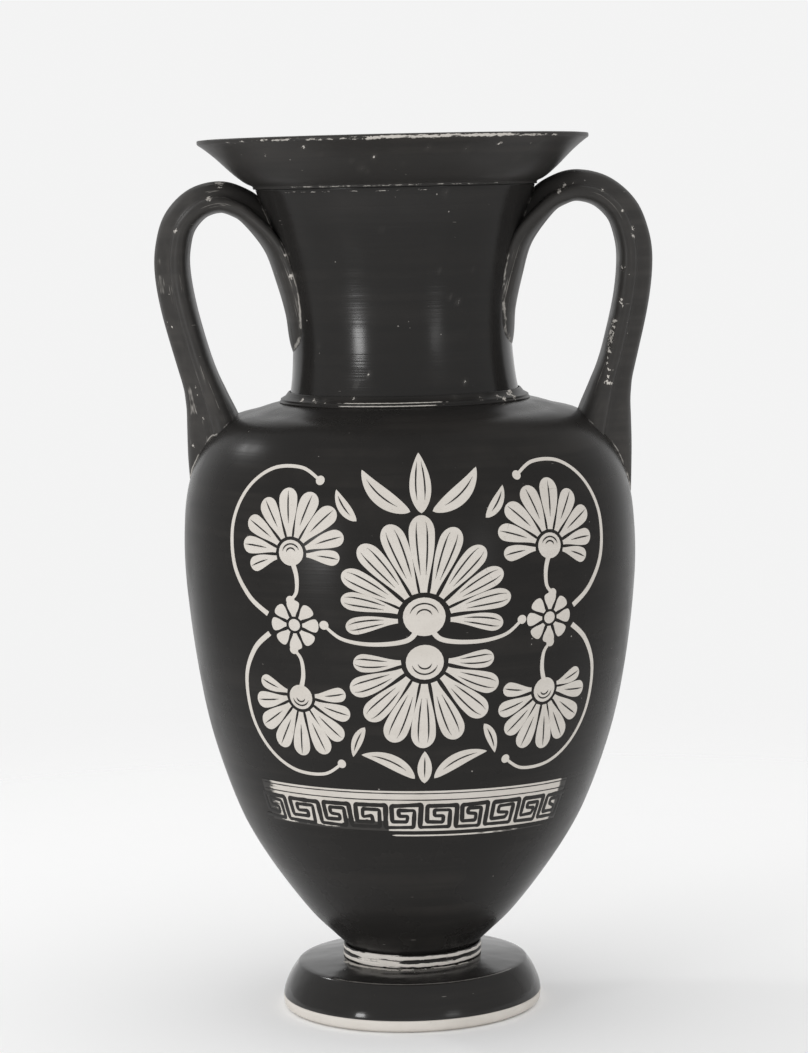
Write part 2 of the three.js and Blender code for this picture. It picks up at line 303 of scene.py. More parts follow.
class Nodes:
    """A node tree, written down step by step. An input takes a number, a colour or a Value."""

    def __init__(self, tree):
        self.tree = tree

    def put(self, socket, value):
        if isinstance(value, Value):
            self.tree.links.new(value.socket, socket)
        else:
            socket.default_value = value

    def add(self, kind, values=None, **settings):
        """A new node, with settings by name and values by the names of its inputs."""
        made = self.tree.nodes.new(kind)
        for name, value in settings.items():
            setattr(made, name, value)
        for name, value in (values or {}).items():
            self.put(made.inputs[name], value)
        return made

    def first(self, *told, **settings):
        """The first output of a new node."""
        return Value(self, self.add(*told, **settings).outputs[0])

    def out(self, *told, **settings):
        """The outputs of a new node, by name."""
        return {out.name: Value(self, out) for out in self.add(*told, **settings).outputs}

    def math(self, operation, *values, clamp=False):
        return self.first(
            "ShaderNodeMath", dict(enumerate(values)), operation=operation, use_clamp=clamp)

    def most(self, *values):
        result = values[0]
        for value in values[1:]:
            result = self.math("MAXIMUM", result, value)
        return result

    def between(self, value, low, high, to_low=0.0, to_high=1.0):
        """A smooth step of a value from low to high."""
        return self.first("ShaderNodeMapRange", {
            "Value": value, "From Min": low, "From Max": high,
            "To Min": to_low, "To Max": to_high}, interpolation_type="SMOOTHSTEP")

    def near(self, value, inner, outer):
        """1 up to the inner bound of a value, and 0 from the outer one on."""
        return 1.0 - self.between(value, inner, outer)

    def noise(self, vector, scale, detail=3.0, roughness=0.55, distortion=0.0):
        return self.first("ShaderNodeTexNoise", {
            "Vector": vector, "Scale": scale, "Detail": detail,
            "Roughness": roughness, "Distortion": distortion})

    def stretch(self, vector, scale):
        return self.first("ShaderNodeMapping", {"Vector": vector, "Scale": scale})

    def blend(self, share, first, second):
        made = self.add("ShaderNodeMix", {
            "Factor": share, "A": first, "B": second}, data_type="RGBA")
        return Value(self, made.outputs["Result"])

    def vector(self, x, y, z=0.0):
        return self.first("ShaderNodeCombineXYZ", {"X": x, "Y": y, "Z": z})

    def axes(self, vector):
        return self.out("ShaderNodeSeparateXYZ", {"Vector": vector})

    def place(self):
        return self.out("ShaderNodeTexCoord")["Object"]

    def around_jar(self):
        """Azimuth from the front, in radians, and height."""
        axes = self.axes(self.place())
        return self.math("ARCTAN2", axes["X"], axes["Y"] * -1.0), axes["Z"]

    def stored(self, name):
        return self.out("ShaderNodeAttribute", attribute_name=name)["Fac"]

    def use(self, group, values=None):
        return self.out("ShaderNodeGroup", values, node_tree=group)


def shared(effect, inputs=None):
    """A node group from an effect. What the effect gives back goes out by name."""
    tree = bpy.data.node_groups.new(effect.__name__, "ShaderNodeTree")

    def new_socket(label, way):
        return tree.interface.new_socket(label, in_out=way, socket_type="NodeSocketFloat")

    for label, value in (inputs or {}).items():
        new_socket(label, "INPUT").default_value = value
    nodes = Nodes(tree)
    results = effect(nodes, nodes.out("NodeGroupInput"))
    for label in results:
        new_socket(label, "OUTPUT")
    nodes.add("NodeGroupOutput", results)
    return tree


def throwing_lines(nodes, _):
    """Fine rings left by the wheel, and the soft patchiness of brushed slip."""
    place = nodes.place()
    fine = nodes.noise(nodes.stretch(place, (6, 6, 1500)), 1.0, 2.0, 0.6)
    broad = nodes.noise(nodes.stretch(place, (9, 9, 260)), 1.0, 3.0, 0.5)
    patch = nodes.between(nodes.noise(place, 28.0, 4.0, 0.6), 0.35, 0.7)
    return {
        "Height": fine * 0.35 + broad, "Streak": nodes.between(broad, 0.38, 0.66), "Patch": patch}


def specks(nodes, given):
    """Pinhead flakes lost here and there: a share of the cells of space hold one each."""
    place = nodes.place()
    squashed = nodes.first("ShaderNodeVectorMath", {
        0: place, 1: nodes.vector(1.0, 1.0, given["Flatness"])}, operation="MULTIPLY")
    cells = nodes.out("ShaderNodeTexVoronoi", {"Vector": squashed, "Scale": given["Cells"]})
    chance = nodes.out("ShaderNodeSeparateColor", {"Color": cells["Color"]})
    holds = nodes.math("GREATER_THAN", chance["Red"], 1.0 - given["Share"])
    ragged = nodes.noise(place, 1300.0, 2.0, 0.6) - 0.5
    away = cells["Distance"] + ragged * given["Size"]
    reach = given["Size"] * (chance["Green"] + 0.3)
    return {"Mask": nodes.near(away / reach, 0.8, 1.1) * holds}


def flakes(nodes, given):
    """Ragged places where the slip has come off. Wear, from 0 to 1, says where they are."""
    ragged = nodes.noise(nodes.place(), 640.0, 4.0, 0.60, 1.1)
    return {"Mask": nodes.between(ragged - (0.86 - given["Wear"] * 0.46), 0.0, 0.02)}


def worn_line(nodes, given):
    """A broken pale line round the jar at a height, strongest at an azimuth from the front."""
    place = nodes.place()
    turn, height = nodes.around_jar()
    waver = nodes.noise(place, 60.0, 3.0, 0.6) - 0.5
    off = abs(height - (given["Height"] + waver * given["Waver"])) / given["Thickness"]
    ragged = nodes.noise(place, 640.0, 3.0, 0.6) - 0.5
    near = nodes.near(off + ragged * given["Raggedness"], 0.75, 1.05)
    there = nodes.near(abs(turn - given["Azimuth"]) / given["Spread"], 0.55, 1.1)
    broken = nodes.noise(nodes.stretch(place, (1, 1, 3)), 260.0, 4.0, 0.7)
    kept = nodes.between(broken + there * 0.3, given["Gaps"] + 0.30, given["Gaps"] + 0.37)
    return {"Mask": near * kept * given["Strength"] * nodes.between(there, 0.02, 0.3)}


def hand_scuffs(nodes, _):
    """Hair scratches and dull rubbed patches that run along a handle, most where it is rubbed."""
    course = nodes.vector(*(nodes.stored(name) for name in ("around", "along", "which")))
    rubbed = nodes.stored("rubbed")
    hair = nodes.noise(nodes.stretch(course, (1500, 42, 1)), 1.0, 3.0, 0.6, 0.3)
    field = nodes.noise(nodes.stretch(course, (130, 34, 1)), 1.0, 3.0, 0.6)
    dry = nodes.noise(nodes.stretch(course, (420, 60, 1)), 1.0, 4.0, 0.65)
    return {
        "Hair": nodes.between(hair + rubbed * 0.07, 0.63, 0.70) * nodes.most(
            nodes.between(field, 0.46, 0.62), rubbed),
        "Rubbed": nodes.between(dry, 0.40, 0.72) * nodes.most(
            nodes.between(field, 0.40, 0.66), rubbed)}


# What a worn line is told, in this order, and what it takes where a row ends early.
WORN_LINE_INPUTS = {
    "Height": 0.3, "Thickness": 0.0002, "Azimuth": 0.0, "Spread": 0.5, "Gaps": 0.5,
    "Waver": 0.0004, "Raggedness": 1.5, "Strength": 1.0}

THROWING = shared(throwing_lines)
SPECKS = shared(specks, {"Cells": 260.0, "Share": 0.1, "Size": 0.1, "Flatness": 1.0})
FLAKES = shared(flakes, {"Wear": 0.0})
WORN_LINE = shared(worn_line, WORN_LINE_INPUTS)
HAND_SCUFFS = shared(hand_scuffs)

# Colours. A slip is a pair of them, thick and thin.
CLAY = (0.585, 0.552, 0.508, 1)
CLAY_DEEP = (0.470, 0.436, 0.392, 1)
CLAY_WORN = (0.500, 0.474, 0.438, 1)
DEEP_SLIP = ((0.0180, 0.0171, 0.0163, 1), (0.0218, 0.0203, 0.0190, 1))
SOFT_SLIP = ((0.0180, 0.0170, 0.0161, 1), (0.0255, 0.0235, 0.0217, 1))
PALE_SLIP = ((0.0285, 0.0270, 0.0256, 1), (0.0385, 0.0356, 0.0330, 1))
HANDLE_SLIP = ((0.0370, 0.0352, 0.0334, 1), (0.0500, 0.0470, 0.0442, 1))
SLIP_DULL = (0.0640, 0.0595, 0.0550, 1)


def new_material(name):
    """A material with one Principled shader. Returns it, its nodes and that shader's inputs."""
    material = bpy.data.materials.new(name)
    material.use_nodes = True
    material.node_tree.nodes.clear()
    nodes = Nodes(material.node_tree)
    look = nodes.first("ShaderNodeBsdfPrincipled")
    nodes.add("ShaderNodeOutputMaterial", {"Surface": look})
    return material, nodes, look.socket.node.inputs


def finish(nodes, shader, colour, rough, relief, depth, shine):
    """Sets a shader's colour, roughness, relief with its depth, and shine."""
    bumped = nodes.first("ShaderNodeBump", {
        "Height": relief, "Strength": 1.0, "Distance": depth})
    for name, value in (("Base Color", colour), ("Roughness", rough), ("Normal", bumped),
                        ("Specular IOR Level", shine)):
        nodes.put(shader[name], value)


def black_gloss(name, slip, shine, rough, share, lines=(), handle=False, bump=0.00006, waves=0.0):
    """Black gloss slip: thin in streaks, pinholed, flaked where marked as worn, lined if told.

    Share says how many pinholes there are, waves how uneven the turned face is, and each line
    is a row of the worn line's inputs.
    """
    material, nodes, shader = new_material(name)
    thrown = nodes.use(THROWING)
    wear = nodes.stored("wear")
    pinholes = nodes.use(SPECKS, {"Share": share, "Size": 0.065})["Mask"]
    hairs = nodes.use(SPECKS, {
        "Cells": 90.0, "Share": share * 0.4, "Size": 0.08, "Flatness": 11.0})["Mask"]
    worn = [nodes.use(WORN_LINE, dict(zip(WORN_LINE_INPUTS, line)))["Mask"] for line in lines]
    bare = nodes.most(
        pinholes * 0.55, nodes.use(FLAKES, {"Wear": wear})["Mask"], hairs * 0.35, *worn)
    dull = wear * 0.5
    if handle:
        scuffs = nodes.use(HAND_SCUFFS)
        dull = nodes.most(dull, scuffs["Rubbed"] * 0.70)
        bare = nodes.most(bare, scuffs["Hair"] * 0.50, seam_line(nodes))
    relief = thrown["Height"] - bare * 1.5
    if waves:
        relief = relief + nodes.noise(nodes.place(), 48.0, 2.0, 0.5) * waves
    whole = nodes.blend(thrown["Streak"] * thrown["Patch"], *slip)
    colour = nodes.blend(bare, nodes.blend(dull, whole, SLIP_DULL), CLAY_WORN)
    patchy = nodes.between(thrown["Patch"], 0.0, 1.0, rough - 0.03, rough + 0.06)
    finish(nodes, shader, colour, patchy + nodes.most(bare, dull) * 0.4, relief, bump, shine)
    return material


def seam_line(nodes):
    """A fine broken line where a handle's luted end meets the jar."""
    ragged = nodes.noise(nodes.place(), 420.0, 3.0, 0.6) - 0.5
    seam = nodes.stored("seam") + ragged * (0.7 * MM)
    near = nodes.near(abs(seam - 0.3 * MM), 0.12 * MM, 0.28 * MM)
    return near * nodes.between(nodes.noise(nodes.place(), 95.0, 4.0, 0.7), 0.46, 0.56) * 0.60


def bare_clay(name, pale=CLAY, deep=CLAY_DEEP, stain=0.35, slip=None):
    """Fired clay left bare, smoothed on the wheel, with fine specks and faint stains.

    A slip function gives a mask of black gloss that lies over it.
    """
    material, nodes, shader = new_material(name)
    place = nodes.place()
    thrown = nodes.use(THROWING)
    pits = nodes.between(nodes.noise(place, 1500.0, 2.0, 0.6), 0.66, 0.74)
    cloud = nodes.noise(place, 55.0, 4.0, 0.6)
    stained = (
        nodes.between(cloud, 0.42, 0.75) * stain + thrown["Streak"] * 0.16 + pits * 0.35)
    colour = nodes.blend(stained, pale, deep)
    rough = nodes.between(cloud, 0.3, 0.7, 0.62, 0.78)
    if slip is not None:
        covered = slip(nodes)
        colour = nodes.blend(covered, colour, SOFT_SLIP[0])
        rough = rough - covered * 0.32
    finish(nodes, shader, colour, rough, thrown["Height"] + pits, 0.00005, 0.25)
    return material


def relief_slip(name):
    """The thick slip of drawn lines: black, slightly brown where the brush ran dry."""
    material, nodes, shader = new_material(name)
    dry = nodes.between(nodes.noise(nodes.place(), 240.0, 3.0, 0.6), 0.56, 0.72)
    rough = nodes.between(dry, 0.0, 1.0, 0.34, 0.46)
    finish(nodes, shader, nodes.blend(dry, *SOFT_SLIP), rough, dry, 0.00004, 0.18)
    return material


def fillet_slip(nodes):
    """Slip on the fillet: in its groove and on its two edges, streaky on the front's left."""
    turn, height = nodes.around_jar()
    streak = nodes.noise(nodes.vector(turn * 4.0, height * 1500.0), 1.0, 4.0, 0.65, 0.5)
    level = height - FOOT_TOP + (streak - 0.5) * 0.0016
    groove = nodes.near(abs(level - 2.55 * MM), 0.68 * MM, 0.84 * MM)
    edges = nodes.most(
        nodes.between(level, 4.35 * MM, 4.60 * MM), nodes.near(level, 0.35 * MM, 0.60 * MM))
    smeared = nodes.near(abs(turn + 0.54), 0.26, 0.44)
    torn = nodes.between(streak + smeared * 0.19, 0.60, 0.66)
    return nodes.most(groove, edges) * (1.0 - torn * nodes.between(smeared, 0.0, 0.4))


BODY_GLOSS = black_gloss("body_gloss", SOFT_SLIP, 0.105, 0.28, 0.12)
BARE_CLAY = bare_clay("bare_clay")
INNER_CLAY = bare_clay("inner_clay", CLAY_DEEP, (0.36, 0.32, 0.28, 1), 0.6)
DRAWN_SLIP = relief_slip("drawn_slip")


# Foot: a gloss disc over a reserved clay stand, parted along a plane inside the clay.
FOOT_BAND_TOP = 4.8 * MM
SOCKET_REACH = 20 * MM
FOOT_LINES = (
    (FOOT_TOP - 2.0 * MM, 0.06 * MM, 0.15, 0.95, 0.20, 0.02 * MM, 1.5, 0.25),
    (FOOT_TOP - 0.15 * MM, 0.09 * MM, -0.55, 0.70, 0.34, 0.2 * MM),
    (FOOT_TOP - 0.10 * MM, 0.05 * MM, 0.50, 0.60, 0.44, 0.3 * MM),
)


def make_foot():
    points, _ = SECTIONS["foot"]
    edge = min(range(len(points)), key=lambda i: abs(points[i].y - FOOT_BAND_TOP))
    rest = max(range(len(points)), key=lambda i: (points[i].x < SOCKET_REACH) * points[i].y)
    stand = eased(points[:edge + 1] + points[rest + 1:], False)
    disc = eased(points[edge:rest + 2], True)
    # Painted light: the stand's bare clay is paler than the other clay, standing in for light
    # thrown up onto its band from below.
    clay = bare_clay("foot_clay_painted_light", (0.655, 0.620, 0.575, 1))
    gloss = black_gloss("foot_gloss", DEEP_SLIP, 0.30, 0.15, 0.10, FOOT_LINES, waves=9.0)
    for name, outline, closed, material, slot in (
        ("foot_disc", disc, True, gloss, "black_gloss"),
        ("foot_stand", stand, False, clay, "reserved_clay"),
    ):
        bm = spun(outline, closed)
        settle(bm)
        finished(name, bm, [material], slot, "foot")


def mark(bm, name, spots):
    """Notes how near each place of the front is to spots: right, height and reach in mm."""
    layer = bm.verts.layers.float.new(name)
    for vert in bm.verts:
        if vert.co.y < 0:
            x, z = vert.co.x / MM, vert.co.z / MM
            vert[layer] = max(
                math.exp(-((x - right) ** 2 + (z - height) ** 2) / reach**2)
                for right, height, reach in spots)


# How far under the body's outer face its inner clay begins.
BODY_SKIN = 2.5 * MM


def make_turned(name, node, materials, slot, spots=()):
    """A turned piece, spun from its solid's half section. The body's second finish lies inside."""
    bm = spun(OUTLINES[node], SECTIONS[node][1])
    if len(materials) > 1:
        for face in bm.faces:
            middle = face.calc_center_median()
            outer = np.interp(middle.z, BODY_LEVELS, BODY_RADII)
            if math.hypot(middle.x, middle.y) < outer - BODY_SKIN and middle.z < BODY_TOP:
                face.material_index = 1
    settle(bm)
    if spots:
        mark(bm, "wear", spots)
    finished(name, bm, materials, slot, node)


# Worn spots that show on the front: right, height and reach in millimetres.
LIP_SPOTS = (
    (26, 334, 1.0), (-13, 328, 1.1), (-11, 327, 0.7), (-8, 332, 0.9), (-16, 331, 0.7),
    (38, 336, 1.0), (-34, 336, 1.2), (45, 331, 0.8), (12, 335, 0.8), (-48, 334, 1.0),
    (3, 329, 0.6), (-28, 333, 0.7), (52, 335, 0.9),
)
NECK_SPOTS = (
    (18, 318, 1.0), (22, 277, 0.9), (19, 279, 0.6), (-31, 262, 0.8), (28, 290, 0.6),
    (8, 300, 0.5), (-12, 251, 0.6), (-6, 305, 0.5), (24, 247, 0.9), (-17, 247, 0.7),
    (26, 268, 0.5), (15, 289, 0.5),
)
COLLAR_SPOTS = (
    (-33, 241, 1.3), (-29, 241, 1.0), (-18, 242, 0.9), (30, 241, 1.1), (36, 241, 1.3),
    (41, 242, 1.9), (39, 240, 1.4), (20, 242, 0.9), (-38, 241, 1.2), (43, 240, 1.2),
)
LEFT_HANDLE_SPOTS = (
    (-68, 324, 2.8), (-63, 325, 2.2), (-72, 318, 1.7), (-85, 306, 1.5), (-88, 269, 1.2),
    (-79, 246, 1.3), (-79, 243, 1.0), (-77, 234, 1.2), (-81, 223, 1.3), (-43, 296, 1.4),
    (-41, 288, 1.5),
)
RIGHT_HANDLE_SPOTS = (
    (62, 318, 1.7), (64, 320, 1.6), (68, 321, 1.0), (79, 318, 1.1), (86, 310, 1.1),
    (90, 300, 1.3), (90, 303, 1.2), (86, 288, 1.4), (85, 276, 1.2), (85, 274, 1.3),
    (82.5, 268, 1.4), (82, 266, 1.3), (81.5, 264, 1.5), (81, 262, 1.4), (80.7, 260, 1.6),
    (80.3, 258, 1.4), (80, 256, 1.2), (79.6, 254, 0.9), (79.2, 252, 0.9), (79.5, 249.5, 1.6),
    (80.6, 249, 1.2), (79, 247, 0.9), (79, 244.5, 1.6), (80.4, 244, 1.4),
)

# Places of the handles rubbed into fine scratches.
LEFT_HANDLE_SCUFFED = (
    (-43, 308, 5), (-41, 298, 6), (-40, 287, 6), (-39, 276, 5), (-78, 249, 5),
)
RIGHT_HANDLE_SCUFFED = ((42, 305, 5), (41, 294, 6), (40, 282, 5))

# Worn lines, each a row of the worn line's inputs.
COLLAR_LINES = (
    (BODY_TOP + 0.75 * MM, 0.17 * MM, -0.10, 0.44, 0.24, 0.1 * MM),
    (BODY_TOP + 1.85 * MM, 0.15 * MM, -0.08, 0.46, 0.26, 0.1 * MM),
)
LIP_LINES = (
    (JAR_TOP - 0.9 * MM, 0.52 * MM, 0.22, 0.50, 0.36, 1.1 * MM, 2.0),
    (JAR_TOP - 1.1 * MM, 0.42 * MM, 0.05, 1.30, 0.51, 1.8 * MM, 3.5, 0.80),
    (NECK_TOP + 0.6 * MM, 0.22 * MM, 0.0, 1.2, 0.50, 0.5 * MM, 2.5, 0.6),
)
NECK_LINES = ((NECK_TOP - 1.3 * MM, 0.22 * MM, -0.35, 0.9, 0.53, 0.9 * MM, 2.5, 0.7),)


def make_round_pieces():
    make_foot()
    collar = black_gloss("collar_gloss", SOFT_SLIP, 0.18, 0.34, 0.20, COLLAR_LINES)
    lip = black_gloss("lip_gloss", PALE_SLIP, 0.18, 0.40, 0.20, LIP_LINES)
    neck = black_gloss("neck_gloss", DEEP_SLIP, 0.27, 0.20, 0.20, NECK_LINES, bump=0.00010)
    # Painted light: the fillet's bare clay is paler than the other clay, to lift the shade that
    # the body casts over it.
    fillet = bare_clay("fillet_clay_painted_light", (0.700, 0.665, 0.620, 1), slip=fillet_slip)
    make_turned("fillet", "foot_fillet", [fillet], "reserved_clay")
    make_turned("body_shell", "body", [BODY_GLOSS, INNER_CLAY], "black_gloss")
    make_turned("collar", "neck_ring", [collar], "black_gloss", COLLAR_SPOTS)
    make_turned("neck_shell", "neck", [neck], "black_gloss", NECK_SPOTS)
    make_turned("lip", "mouth", [lip], "black_gloss", LIP_SPOTS)


# Handles: the solids' own path, swell and section, drawn out more finely.
NECK_WAIST_RADIUS = 42.5 * MM
HANDLE_HALF_WIDTH = 14.0 * MM
HANDLE_THICKNESS = 13.4 * MM
LEFT_HANDLE_REACH = 87.6 * MM
RIGHT_HANDLE_REACH = 91.2 * MM
LEFT_CROWN_DROP = 2.5 * MM
RIGHT_CROWN_DROP = 1.0 * MM
HANDLE_STEPS = 190
SECTION_STEPS = 56
SEAM_DEPTH = 2.2 * MM

# Steps along the path, and the reach to both sides of a place that gives its heading.
HANDLE_PATH_STEP = 1.0 * MM
HANDLE_RUN = 2.0 * MM

# How far a handle strays from its even form: out from the path, and as a share of its width.
HANDLE_STRAY = 0.2 * MM
HANDLE_UNEVENNESS = 0.05

# Shares of the way from the neck's waist to the reach, and from the shoulder to the crown.
HANDLE_PATH_SHARES = (
    (-0.224, 0.130), (-0.104, 0.270), (-0.076, 0.440), (-0.011, 0.602), (0.086, 0.771),
    (0.274, 0.920), (0.408, 0.976), (0.566, 1.000), (0.761, 0.970), (0.916, 0.882),
    (0.985, 0.764), (1.000, 0.639), (0.962, 0.465), (0.864, 0.229), (0.777, 0.055),
    (0.722, -0.082), (0.668, -0.256), (0.616, -0.430),
)

# Share of the path, then shares of half width, of thickness and of the curl round the neck.
HANDLE_SWELL_SHARES = (
    (0.00, 0.60, 0.66, 1.00), (0.06, 1.30, 0.78, 1.00), (0.15, 1.52, 0.86, 1.00),
    (0.25, 1.46, 0.88, 0.80), (0.34, 1.18, 0.90, 0.20), (0.42, 1.02, 0.92, 0.00),
    (0.58, 1.00, 1.02, 0.00), (0.76, 1.02, 1.04, 0.00), (0.82, 1.12, 1.22, 0.00),
    (0.87, 1.36, 1.54, 0.00), (0.93, 1.30, 1.87, 0.00), (1.00, 0.62, 2.16, 0.00),
)

# Half of the section, from the middle of its flat face to the top of its ridge.
HANDLE_SECTION_SHARES = (
    (-0.50, 0.00), (-0.48, 0.62), (-0.38, 0.92), (-0.20, 1.00), (-0.04, 0.90),
    (0.03, 0.64), (0.20, 0.52), (0.40, 0.34), (0.50, 0.00),
)


def swell_lines():
    """Half width, thickness and curl along the path, each a smooth line through its rows."""
    return [
        np.array(spline([(row[0], row[k]) for row in HANDLE_SWELL_SHARES])).T for k in (1, 2, 3)]


def handle_section():
    """The closed section, as even steps round it."""
    half = [Vector(row) for row in HANDLE_SECTION_SHARES]
    ring = half + [Vector((row.x, -row.y)) for row in half[1:-1]][::-1]
    smooth = spline([ring[-1]] + ring + ring[:2], 12)[12:-12]
    return evenly(smooth, lengths(smooth)[-1] / SECTION_STEPS)[:SECTION_STEPS]


def make_handle(name, node, reach, crown_drop, side, material, spots, scuffed):
    crown = NECK_TOP - crown_drop
    path = evenly(spline([
        (NECK_WAIST_RADIUS + out * (reach - NECK_WAIST_RADIUS),
         BODY_TOP + up * (crown - BODY_TOP))
        for out, up in HANDLE_PATH_SHARES]), HANDLE_PATH_STEP)
    along, courses = lengths(path), np.array(path).T
    section, swell = handle_section(), swell_lines()
    curl = HANDLE_HALF_WIDTH**2 / NECK_WAIST_RADIUS

    def path_at(place):
        return Vector([np.interp(place, along, course) for course in courses])

    bm = bmesh.new()
    seam, lengthwise, crosswise, which = (
        bm.verts.layers.float.new(layer) for layer in ("seam", "along", "around", "which"))
    bmesh.ops.create_grid(bm, x_segments=HANDLE_STEPS, y_segments=SECTION_STEPS, size=1)
    for vert in bm.verts:
        share = (vert.co.x + 1) / 2
        place = section[round((vert.co.y + 1) / 2 * SECTION_STEPS) % SECTION_STEPS]
        width, thickness, wrap = (np.interp(share, *line) for line in swell)
        at = share * along[-1]
        middle = path_at(at)
        run = (path_at(at + HANDLE_RUN) - path_at(at - HANDLE_RUN)).normalized()
        uneven = noise.noise(Vector((at * 30, place.x * 1.2, place.y * 1.2 + side)))
        wide = place.y * (1 + HANDLE_UNEVENNESS * uneven)
        out = place.x * thickness * HANDLE_THICKNESS + wrap * curl * wide**2
        out += HANDLE_STRAY * noise.noise(Vector((at * 45, place.y, 3 * side)))
        vert.co = (
            middle.x - run.y * out, -wide * width * HANDLE_HALF_WIDTH, middle.y + run.x * out)
        vert[lengthwise] = at
        vert[crosswise] = place.x * HANDLE_THICKNESS + abs(place.y) * HANDLE_HALF_WIDTH
        vert[which] = side + (0.4 if place.y > 0 else 0.0)
    bmesh.ops.remove_doubles(bm, verts=bm.verts, dist=WELD)
    press_into_jar(bm, seam)
    bmesh.ops.holes_fill(bm, edges=[e for e in bm.edges if e.is_boundary], sides=0)
    bmesh.ops.triangulate(bm, faces=[f for f in bm.faces if len(f.verts) > 4])
    if side < 0:
        half_turn = Matrix.Rotation(math.pi, 3, "Z")
        bmesh.ops.rotate(bm, verts=bm.verts, cent=(0, 0, 0), matrix=half_turn)
    bmesh.ops.recalc_face_normals(bm, faces=bm.faces)
    settle(bm)
    mark(bm, "wear", spots)
    mark(bm, "rubbed", scuffed)
    finished(name, bm, [material], "handle_gloss", node)


def press_into_jar(bm, seam):
    """Keeps a luted end just under the jar's surface, and notes how far each place is from it."""
    x, y, heights = np.array([vert.co for vert in bm.verts]).T
    gaps, nearest, away = outside_distance(np.hypot(x, y), heights)
    for vert, gap, foot, normal in zip(bm.verts, gaps, nearest, away):
        vert[seam] = gap
        if gap < -SEAM_DEPTH:
            held = foot - normal * SEAM_DEPTH
            flat = Vector((vert.co.x, vert.co.y)).normalized() * held[0]
            vert.co = (flat.x, flat.y, held[1])


def make_handles():
    gloss = black_gloss(
        "handle_gloss", HANDLE_SLIP, 0.18, 0.40, 0.34, handle=True, bump=0.00010)
    make_handle("handle_left", "left_handle", LEFT_HANDLE_REACH, LEFT_CROWN_DROP, -1, gloss,
                LEFT_HANDLE_SPOTS, LEFT_HANDLE_SCUFFED)
    make_handle("handle_right", "right_handle", RIGHT_HANDLE_REACH, RIGHT_CROWN_DROP, 1, gloss,
                RIGHT_HANDLE_SPOTS, RIGHT_HANDLE_SCUFFED)


# Painted ornament: drawn flat on the unrolled body and laid on it as thin closed strips.
PANEL_RADIUS = 80 * MM
STRIP_GRAIN = 2.2 * MM
STRIP_SINK = 0.35 * MM
CLAY_LIFT = 0.09 * MM
LINE_LIFT = 0.15 * MM
LINE_DOME = 0.05 * MM

# What is left of a line's width at its tapered ends.
LEAST_WIDTH_SHARE = 0.12

# Strips that meet lie at slightly different levels, a few of them by turns.
STRIP_STEP = 0.006 * MM
STRIP_STEPS = 5


def on_body(across, height, lift, azimuth):
    """Places on the body from the unrolled panel: distance round it, height and lift."""
    turn = azimuth + across / PANEL_RADIUS
    radius = np.interp(height, BODY_LEVELS, BODY_RADII)
    slope = (np.interp(height + MM, BODY_LEVELS, BODY_RADII)
             - np.interp(height - MM, BODY_LEVELS, BODY_RADII)) / (2 * MM)
    stretch = np.hypot(1, slope)
    radius = radius + lift / stretch
    height = height - lift * slope / stretch
    return np.stack([radius * np.sin(turn), -radius * np.cos(turn), height], 1)


def sideways(points):
    """Unit steps to the left of a line at each of its points."""
    along = np.gradient(points, axis=0)
    along /= np.maximum(np.linalg.norm(along, axis=1), 1e-12)[:, None]
    return np.stack([-along[:, 1], along[:, 0]], 1)


class Ornament:
    """One skin of ornament: many closed strips in one mesh. Drop says how far it leans."""

    def __init__(self, azimuth, lift, dome=0.0, drop=0.0):
        self.bm, self.count = bmesh.new(), 0
        self.azimuth, self.lift, self.dome, self.drop = azimuth, lift, dome, drop

    def ribbon(self, line, half_widths):
        """A strip along a line, with its half width at each point of the line."""
        strip = bmesh.new()
        points = np.array(line)
        widths = np.array(half_widths)
        rows = max(2, math.ceil(2 * widths.max() / STRIP_GRAIN))
        steps = len(points) - 1
        bmesh.ops.create_grid(strip, x_segments=steps, y_segments=rows, size=1)
        made = bmesh.ops.extrude_face_region(strip, geom=strip.faces[:], use_keep_orig=True)
        for part in made["geom"]:
            if isinstance(part, bmesh.types.BMVert):
                part.co.z = -1
        flat = np.array([vert.co for vert in strip.verts])
        index = np.rint((flat[:, 0] + 1) / 2 * steps).astype(int)
        across = (flat[:, 1] * widths[index])[:, None]
        place = points[index] + sideways(points)[index] * across
        self.count += 1
        step = STRIP_STEP * (self.count % STRIP_STEPS)
        top = self.lift + step + self.dome * (1 - flat[:, 1] ** 2)
        lift = np.where(flat[:, 2] < -0.5, -STRIP_SINK, top)
        height = place[:, 1] - self.drop * place[:, 0]
        for vert, co in zip(strip.verts, on_body(place[:, 0], height, lift, self.azimuth)):
            vert.co = co
        bmesh.ops.remove_doubles(strip, verts=strip.verts, dist=WELD)
        bmesh.ops.recalc_face_normals(strip, faces=strip.faces)
        mesh = as_mesh("strip", strip)
        self.bm.from_mesh(mesh)
        bpy.data.meshes.remove(mesh)

    def stroke(self, line, half_width, taper=0.0, unevenness=0.10):
        """A drawn line of nearly even width, or of a width per point, tapered at its ends."""
        along = lengths(line)
        share = along / along[-1]
        ends = np.minimum(share, 1 - share)
        fade = np.clip(ends / taper, LEAST_WIDTH_SHARE, 1) if taper else 1.0
        wander = np.array([
            noise.noise(Vector((point[0] * 260, point[1] * 260, self.count))) for point in line])
        self.ribbon(line, half_width * fade * (1 + unevenness * wander))

    def disc(self, middle, radius):
        """A round spot, as a short ribbon of round outline."""
        turns = np.linspace(0, np.pi, 13)
        line = [Vector((middle[0] - radius * math.cos(turn), middle[1])) for turn in turns]
        self.ribbon(line, radius * np.maximum(np.sin(turns), 0))

    def done(self, name, material, slot):
        settle(self.bm)
        finished(name, self.bm, [material], slot)


def rounded(points):
    """A line of straight runs whose corners are rounded."""
    line = [points[0]]
    for before, corner, after in zip(points, points[1:], points[2:]):
        cut = min(KEY_CORNER, (corner - before).length * 0.48, (after - corner).length * 0.48)
        start = corner + (before - corner).normalized() * cut
        end = corner + (after - corner).normalized() * cut
        line += [start] + rounding(start, corner, end) + [end]
    return evenly(line + [points[-1]], KEY_STEP)


